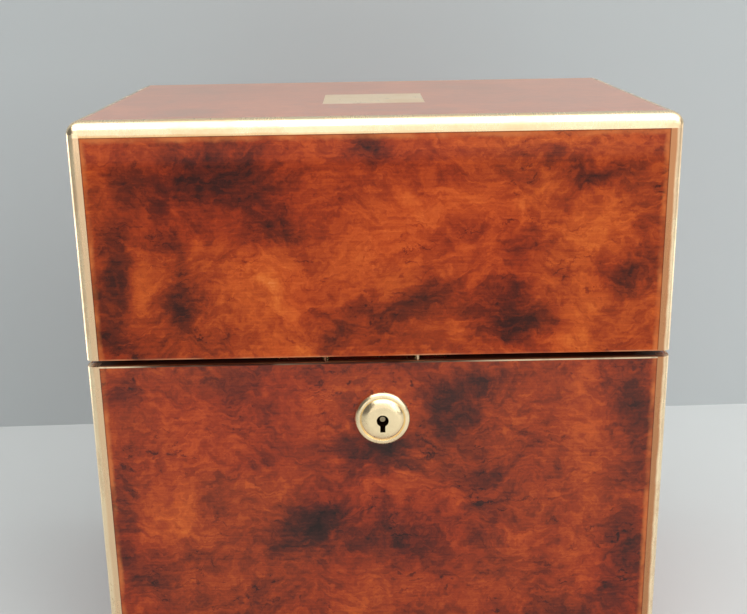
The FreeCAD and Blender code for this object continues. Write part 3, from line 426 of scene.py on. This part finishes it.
for name in nodes:
    if name.endswith("_board"):
        along = 1 if ("_left_" in name or "_right_" in name) else 0
        dress(plain_wood(f"{name}_mahogany", rgb(74, 34, 20), rgb(128, 68, 40), along, 0.4, 0.5), name)


def rim_wood(node, dark, light):
    """Polished facing of four mitred strips, each with its grain along its own length."""
    shade = Shader(f"{node}_rosewood", Roughness=0.35, Coat_Weight=0.8, Coat_Roughness=0.12)
    x, y, _ = shade.axes()
    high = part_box(node)[1]
    from_side = shade.sum(high[0], (shade.math("ABSOLUTE", x), -1.0))
    from_end = shade.sum(high[1], (shade.math("ABSOLUTE", y), -1.0))
    side = shade.math("LESS_THAN", from_side, from_end)
    long_grain, deep_grain = (shade.noise(1, 6, 0.62, 0.3, vector=shade.moved(scale=stretched(420, 14, axis)))
                              for axis in (0, 1))
    turned = shade.math("SUBTRACT", deep_grain, long_grain)
    grain = shade.math("MULTIPLY_ADD", turned, side, long_grain)
    from_mitre = shade.math("ABSOLUTE", shade.math("SUBTRACT", from_side, from_end))
    mitre = shade.span(from_mitre, 0.0, 0.00025, 0.8, 0)
    colour = shade.mix(shade.span(grain, 0.32, 0.68), dark, light)
    shade.set("Base Color", shade.mix(mitre, colour, tuple(part * 0.3 for part in dark)))
    shade.bump((grain, 0.00004))
    return shade.material


for name in ("lid_rim_facing", "base_rim_facing"):
    dress(rim_wood(name, rgb(52, 26, 16), rgb(118, 64, 36)), name)


# ---- Metals ----

def metal(name, clean, dull, shine=(0.16, 0.38), patch=55, wear=0.5, brushed=None, dulling=None,
          metallic=1.0):
    """Old polished metal: cloudy dull patches, and fine scratches along the axis brushed, or else aslant.

    shine is the range of the roughness, patch the scale of the clouds, and wear their strength.
    The dulling function gives, from the shader and its X, Y and Z, the least share of the dull colour at a
    place; for some parts this share is painted shade.
    """
    shade = Shader(name, Metallic=metallic)
    cloudy = shade.noise(patch, 6, 0.62, 0.5)
    fine = shade.noise(900, 3, 0.6)
    if brushed is None:
        scratched = shade.moved(turn=(0.4, 0.7, 0.3), scale=(2600, 160, 160))
    else:
        scratched = shade.moved(scale=stretched(2600, 60, brushed))
    lines = shade.noise(1, 3, 0.6, vector=scratched)
    dull_share = shade.span(shade.sum((cloudy, 1.0), (fine, 0.25)), 0.52, 0.82, 0, wear)
    if dulling:
        dull_share = shade.math("MAXIMUM", dull_share, dulling(shade, *shade.axes()))
    shade.set("Base Color", shade.mix(dull_share, clean, dull))
    rough = shade.span(shade.sum((cloudy, 0.7), (lines, 0.3)), 0.3, 0.7, *shine)
    shade.set("Roughness", rough)
    shade.bump((lines, 0.000006), (shade.noise(140, 2), 0.00003))
    return shade.material


def edge_tarnish_and_side_shade(start, end, sides):
    """Polished along the box's edges and dull further in, by the shares in sides at its left and its right.
    These two shares are painted shade: they darken a strip on the side where less light falls on it.

    start and end are where the dull begins and is full, in metres from the edge.
    """
    def share(shade, x, y, z):
        gaps = []
        for value, low, high in zip((x, y, z), BOX_LOW, BOX_HIGH):
            gaps.append(shade.math("MINIMUM", shade.sum(-low, value), shade.sum(high, (value, -1.0))))
        least = shade.math("MINIMUM", gaps[0], gaps[1])
        most = shade.math("MAXIMUM", gaps[0], gaps[1])
        middle = shade.math("MAXIMUM", least, shade.math("MINIMUM", most, gaps[2]))
        uneven = shade.math("MULTIPLY_ADD", shade.noise(120, 3), 0.0010,
                            shade.math("SUBTRACT", middle, 0.0005))
        return shade.math("MULTIPLY", shade.span(uneven, start, end, 0, 1),
                          shade.span(x, BOX_LOW[0], BOX_HIGH[0], *sides))
    return share


def line_dark_middle(shade, x, y, z):
    """The line in the rim is brown but for its right part and its left end."""
    middle = shade.math("MULTIPLY", shade.span(x, -0.090, -0.076), shade.span(x, 0.02, 0.05, 1, 0.3))
    return shade.math("MULTIPLY", middle, shade.span(shade.noise(70, 4), 0.3, 0.6, 0.88, 1))


def keyhole_tarnish_and_shade(shade, x, y, z):
    """Dark inside the keyhole: partly brass gone dull where no cloth reaches, partly painted shade deep in
    the hole.
    """
    beside = shade.math("ABSOLUTE", shade.math("SUBTRACT", x, lock_x))
    above = shade.math("ABSOLUTE", shade.math("SUBTRACT", z, lock_z))
    near = shade.math("MULTIPLY", shade.span(beside, 0.0030, 0.0034, 1, 0),
                      shade.span(above, 0.0060, 0.0064, 1, 0))
    depth = shade.math("SUBTRACT", y, lock_face)
    dark = shade.math("MAXIMUM", shade.span(depth, 0.0003, 0.0010, 0, 0.7), shade.span(depth, 0.0022, 0.0045))
    return shade.math("MULTIPLY", near, dark)


def stud_painted_shade(shade, x, y, z):
    """Painted shade: the left stud is darkened and the right one left bright, as only the right one catches
    the light.
    """
    return shade.span(x, -0.004, 0.004, 1, 0)


BRASS, OLD_BRASS = rgb(253, 228, 188), rgb(226, 180, 130)
BOX_LOW, BOX_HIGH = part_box("base_edge_strips")[0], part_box("lid_edge_strips")[1]
# Painted shade: the pairs of side shares darken the top strips towards the left and the other strips towards
# the right, where less light falls.
top_brass = metal("edge_brass_polished_and_shaded", BRASS, rgb(226, 180, 126), wear=0.4,
                  dulling=edge_tarnish_and_side_shade(0.0040, 0.0050, (0.9, 0.2)))
dress(top_brass, "lid_edge_strips")
edge_brass = metal("edge_brass_worn_and_shaded", BRASS, rgb(188, 132, 92), wear=0.4,
                   dulling=edge_tarnish_and_side_shade(0.0016, 0.0028, (0.45, 1)))
dress(edge_brass, "lid_corner_strips", "base_edge_strips", "base_corner_strips")
dress(metal("rim_line_brass", BRASS, rgb(74, 40, 32), (0.3, 0.5), dulling=line_dark_middle), "base_rim_line")
plate_brass = metal("plate_brass_satin", rgb(250, 224, 188), rgb(224, 190, 148), (0.26, 0.36), brushed=0,
                    metallic=0.7)
dress(plate_brass, "initial_plate", "initial_plate_pins")
lock_brass = metal("lock_brass_turned", rgb(250, 226, 182), rgb(206, 168, 120), (0.14, 0.3), patch=120)
dress(lock_brass, "lock_case", "lock_cover", "link_plate")
(lock_left, lock_face, lock_bottom), (lock_right, _, lock_top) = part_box("lock_nozzle")
lock_x, lock_z = (lock_left + lock_right) / 2, (lock_bottom + lock_top) / 2
# Its near-black dull colour is for the keyhole: partly dull old brass and partly painted shade.
nozzle_brass = metal("nozzle_brass_turned", rgb(250, 226, 182), rgb(40, 22, 16), (0.14, 0.3), patch=120,
                     wear=0.12, dulling=keyhole_tarnish_and_shade)
dress(nozzle_brass, "lock_nozzle", "lock_barrel")
dress(metal("stud_brass", BRASS, rgb(120, 80, 60), dulling=stud_painted_shade), "lid_rest_studs")
hinge_brass = metal("hinge_brass_worn", BRASS, OLD_BRASS, (0.2, 0.42), patch=90)
dress(hinge_brass, "lid_hinge_leaf_left", "lid_hinge_leaf_right", "base_hinge_leaf_left",
      "base_hinge_leaf_right", "hinge_pins")
screw_brass = metal("screw_brass_worn", rgb(240, 208, 150), rgb(150, 112, 66), (0.2, 0.4), patch=300)
dress(screw_brass, "link_plate_screws", "lid_hinge_screws", "base_hinge_screws", "lock_screws")
lock_steel = metal("lock_steel_oiled", rgb(190, 188, 184), rgb(112, 104, 98), (0.22, 0.45), patch=160)
dress(lock_steel, "lock_bolt")
tin = metal("canister_metal_polished", rgb(226, 224, 218), rgb(168, 164, 156), (0.12, 0.3), patch=30,
            wear=0.45)
dress(tin, "canister_left", "canister_right", "canister_cap_left", "canister_cap_right")


# ---- Cloth ----

def velvet(name, deep, lit):
    """Crushed pile, pale at its edges."""
    shade = Shader(name, Roughness=0.9, Sheen_Weight=1.0, Sheen_Roughness=0.35, Sheen_Tint=(*lit, 1))
    crushed = shade.span(shade.noise(32, 3, 0.55, 0.3), 0.32, 0.68)
    fine = shade.noise(190, 4, 0.65)
    pile = shade.noise(2600, 2)
    shade.set("Base Color", shade.mix(shade.sum((crushed, 0.35), (fine, 0.35), (pile, 0.3)), deep, lit))
    shade.bump((pile, 0.00012), (fine, 0.0001))
    return shade.material


def piece(name, bm, body, slot, material, *stands_for):
    """A smooth-shaded object from bmesh, in the row frame, that rides on a body and stands for CAD nodes."""
    mesh = bpy.data.meshes.new(name)
    bm.to_mesh(mesh)
    bm.free()
    mesh.materials.append(material)
    mesh.shade_smooth()
    item = bpy.data.objects.new(name, mesh)
    scene.collection.objects.link(item)
    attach(item, body)
    if stands_for:
        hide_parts(*stands_for)
    return item


def box_mesh(low, high, edge=0.0, segments=3):
    """A box between two corners whose edges are rounded."""
    bm = bmesh.new()
    bmesh.ops.create_cube(bm, size=1.0)
    size = [b - a for a, b in zip(low, high)]
    for vertex in bm.verts:
        vertex.co = [a + (part + 0.5) * wide for a, part, wide in zip(low, vertex.co, size)]
    if edge:
        bmesh.ops.bevel(bm, geom=bm.edges[:], offset=edge, segments=segments, profile=0.5, affect="EDGES",
                        clamp_overlap=True)
    return bm


def covered_board(name, body, material):
    """A thin board with velvet drawn round its edges."""
    low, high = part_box(name)
    slack = 0.00004
    edge = min(0.4 * min(b - a for a, b in zip(low, high)), 0.0007)
    bm = box_mesh([part + slack for part in low], [part - slack for part in high], edge)
    item = piece(f"{name}_velvet", bm, body, "velvet", material, name)
    item.modifiers.new("flat_faces", "WEIGHTED_NORMAL").weight = 100
    return item


crimson = velvet("velvet_crimson", rgb(70, 8, 16), rgb(150, 28, 40))
for name in [name for name in nodes if "_lining_" in name]:
    covered_board(name, name.split("_")[0], crimson)
covered_board("canister_divider", "base", crimson)


# ---- The buttoned silk pad in the lid ----

# Places of the buttons in mm, and their radius and half thickness in metres.
BUTTONS = [(x, y) for x in (-60, -20, 20, 60) for y in (-28, 28)] + [(x, 0) for x in (-80, -40, 0, 40, 80)]
BUTTON_RADIUS, BUTTON_THICK = 0.0036, 0.0017
BUTTON_DEPTH = 0.0036  # from the ceiling to a button's middle


def silk_material():
    """Ribbed silk with slubs, a little faded."""
    shade = Shader("silk_crimson", Roughness=0.42, Specular_IOR_Level=0.4, Sheen_Weight=0.6,
                   Sheen_Roughness=0.3, Sheen_Tint=(*rgb(238, 150, 150), 1))
    warp, weft = shade.threads("X"), shade.threads("Y")
    slub = shade.span(shade.noise(1, 3, 0.6, vector=shade.moved(scale=(60, 900, 60))), 0.55, 0.7)
    aged = shade.span(shade.noise(28, 4, 0.6), 0.35, 0.65)
    colour = shade.mix(aged, rgb(112, 14, 26), rgb(150, 26, 38))
    colour = shade.mix(shade.math("MULTIPLY", slub, 0.35), colour, rgb(190, 66, 70))
    shade.set("Base Color", colour)
    shade.bump((shade.math("MULTIPLY", warp, weft), 0.00003), (slub, 0.00004))
    return shade.material


def tufted_pad(material):
    """Silk over wadding, swollen by a cloth simulation between the buttons that hold it down."""
    low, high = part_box("lid_pad")
    inset, under = 0.0022, 0.0026  # room to swell, at the sides and below
    start_low = (low[0] + inset, low[1] + inset, low[2] + under)
    start_high = (high[0] - inset, high[1] - inset, high[2] - 0.0003)
    bm = box_mesh(start_low, start_high, 0.0022, 4)
    item = piece("lid_pad_silk", bm, "lid", "padded_silk", material, "lid_pad")
    remesh = item.modifiers.new("even", "REMESH")
    remesh.mode, remesh.voxel_size = "VOXEL", 0.0024
    bake(item)
    glued, pulled = high[2] - 0.0012, high[2] - 0.0028  # heights of the glued back and the dimples' floors
    dimple, tied = 0.0055, 0.0030  # radii of a dimple and of what its button holds
    held = item.vertex_groups.new(name="held")
    rest = []
    for vertex in item.data.vertices:
        spot = vertex.co
        near = min(math.hypot(spot.x - x * MM, spot.y - y * MM) for x, y in BUTTONS)
        if spot.z > glued:
            held.add([vertex.index], 1.0, "REPLACE")
        else:
            spot.z += (pulled - spot.z) * math.exp(-(near / dimple) ** 2)
            if near < tied:
                held.add([vertex.index], 1.0, "REPLACE")
        rest.append(spot.copy())
    swell(item, rest)
    for vertex in item.data.vertices:
        for axis in range(3):
            vertex.co[axis] = min(max(vertex.co[axis], low[axis] + 0.0002), high[axis] - 0.0001)
    smooth = item.modifiers.new("smooth", "SUBSURF")
    smooth.levels = smooth.render_levels = 1


def swell(item, rest):
    """Swell the silk as cloth, held where it is glued or buttoned, and cap how far each vertex moves."""
    frames, reach = 20, 0.0035
    cloth = item.modifiers.new("swell", "CLOTH")
    settings = cloth.settings
    settings.quality = 6
    settings.mass = 0.1
    settings.tension_stiffness = settings.compression_stiffness = 12
    settings.shear_stiffness = 6
    settings.bending_stiffness = 0.05
    settings.use_pressure = True
    settings.uniform_pressure_force = 4
    settings.shrink_min = -0.10
    settings.vertex_group_mass = "held"
    settings.effector_weights.gravity = 0
    cloth.collision_settings.use_collision = False
    cloth.point_cache.frame_start, cloth.point_cache.frame_end = 1, frames
    for frame_number in range(1, frames + 1):
        scene.frame_set(frame_number)
    bake(item)
    scene.frame_set(1)
    for vertex, start in zip(item.data.vertices, rest):
        move = vertex.co - start
        if move.length > reach:
            vertex.co = start + move * (reach / move.length)


def bake(item):
    """Replace the mesh by what its modifiers make of it."""
    graph = bpy.context.evaluated_depsgraph_get()
    mesh = bpy.data.meshes.new_from_object(item.evaluated_get(graph), preserve_all_data_layers=True,
                                           depsgraph=graph)
    item.modifiers.clear()
    item.data = mesh
    mesh.shade_smooth()


def face_order(face):
    """A number of its own for each face of the buttons."""
    corners = [vertex.index for vertex in face.verts]
    return min(corners) * 10000 + sum(corners)


def pad_buttons(material):
    """Silk-covered buttons, one in each dimple of the pad."""
    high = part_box("lid_pad")[1]
    bm = bmesh.new()
    for x, y in BUTTONS:
        made = bmesh.ops.create_uvsphere(bm, u_segments=24, v_segments=12, radius=1.0)["verts"]
        for vertex in made:
            vertex.co = (x * MM + vertex.co.x * BUTTON_RADIUS, y * MM + vertex.co.y * BUTTON_RADIUS,
                         high[2] - BUTTON_DEPTH + vertex.co.z * BUTTON_THICK)
    # The spheres' faces come in a new order each run, so they are sorted by their vertices.
    bm.verts.index_update()
    bm.faces.sort(key=face_order)
    piece("lid_pad_buttons", bm, "lid", "padded_silk", material)


silk = silk_material()
tufted_pad(silk)
pad_buttons(silk)


# ---- Baize under the base ----

def baize_material():
    """Green felt, rubbed pale in places."""
    shade = Shader("baize_green", Roughness=0.95, Sheen_Weight=0.7, Sheen_Roughness=0.5,
                   Sheen_Tint=(*rgb(120, 160, 120), 1))
    fibre = shade.noise(1, 4, 0.7, 2.0, vector=shade.moved(scale=(2200, 700, 2200)))
    fluff = shade.noise(420, 5, 0.7)
    worn = shade.span(shade.noise(24, 4, 0.6), 0.48, 0.7)
    colour = shade.mix(shade.sum((fibre, 0.6), (fluff, 0.4)), rgb(16, 44, 28), rgb(52, 98, 64))
    colour = shade.mix(shade.math("MULTIPLY", worn, 0.5), colour, rgb(84, 104, 70))
    shade.set("Base Color", colour)
    shade.bump((fibre, 0.00012), (fluff, 0.0001))
    return shade.material


def baize_sheet(material):
    """Felt glued to the bottom, cut by hand, so its edge is a little uneven."""
    low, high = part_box("base_baize")
    wide, deep, thick = (b - a for a, b in zip(low, high))
    rng = random.Random(4)
    step, least_cut, more_cut, ripple = 0.003, 0.0001, 0.00025, 0.00006
    columns, rows = round(wide / step), round(deep / step)
    bm = bmesh.new()
    grid = []
    for row in range(rows + 1):
        line = []
        for column in range(columns + 1):
            x, y = low[0] + wide * column / columns, low[1] + deep * row / rows
            if column in (0, columns) or row in (0, rows):
                x += (least_cut + more_cut * rng.random()) * {0: 1, columns: -1}.get(column, 0)
                y += (least_cut + more_cut * rng.random()) * {0: 1, rows: -1}.get(row, 0)
            line.append(bm.verts.new((x, y, low[2] + ripple * rng.random())))
        grid.append(line)
    for row in range(rows):
        for column in range(columns):
            bm.faces.new((grid[row][column], grid[row + 1][column], grid[row + 1][column + 1],
                          grid[row][column + 1]))
    item = piece("base_baize_felt", bm, "base", "baize", material, "base_baize")
    solid = item.modifiers.new("thickness", "SOLIDIFY")
    solid.thickness, solid.offset = thick - 0.0001, -1.0


baize_sheet(baize_material())
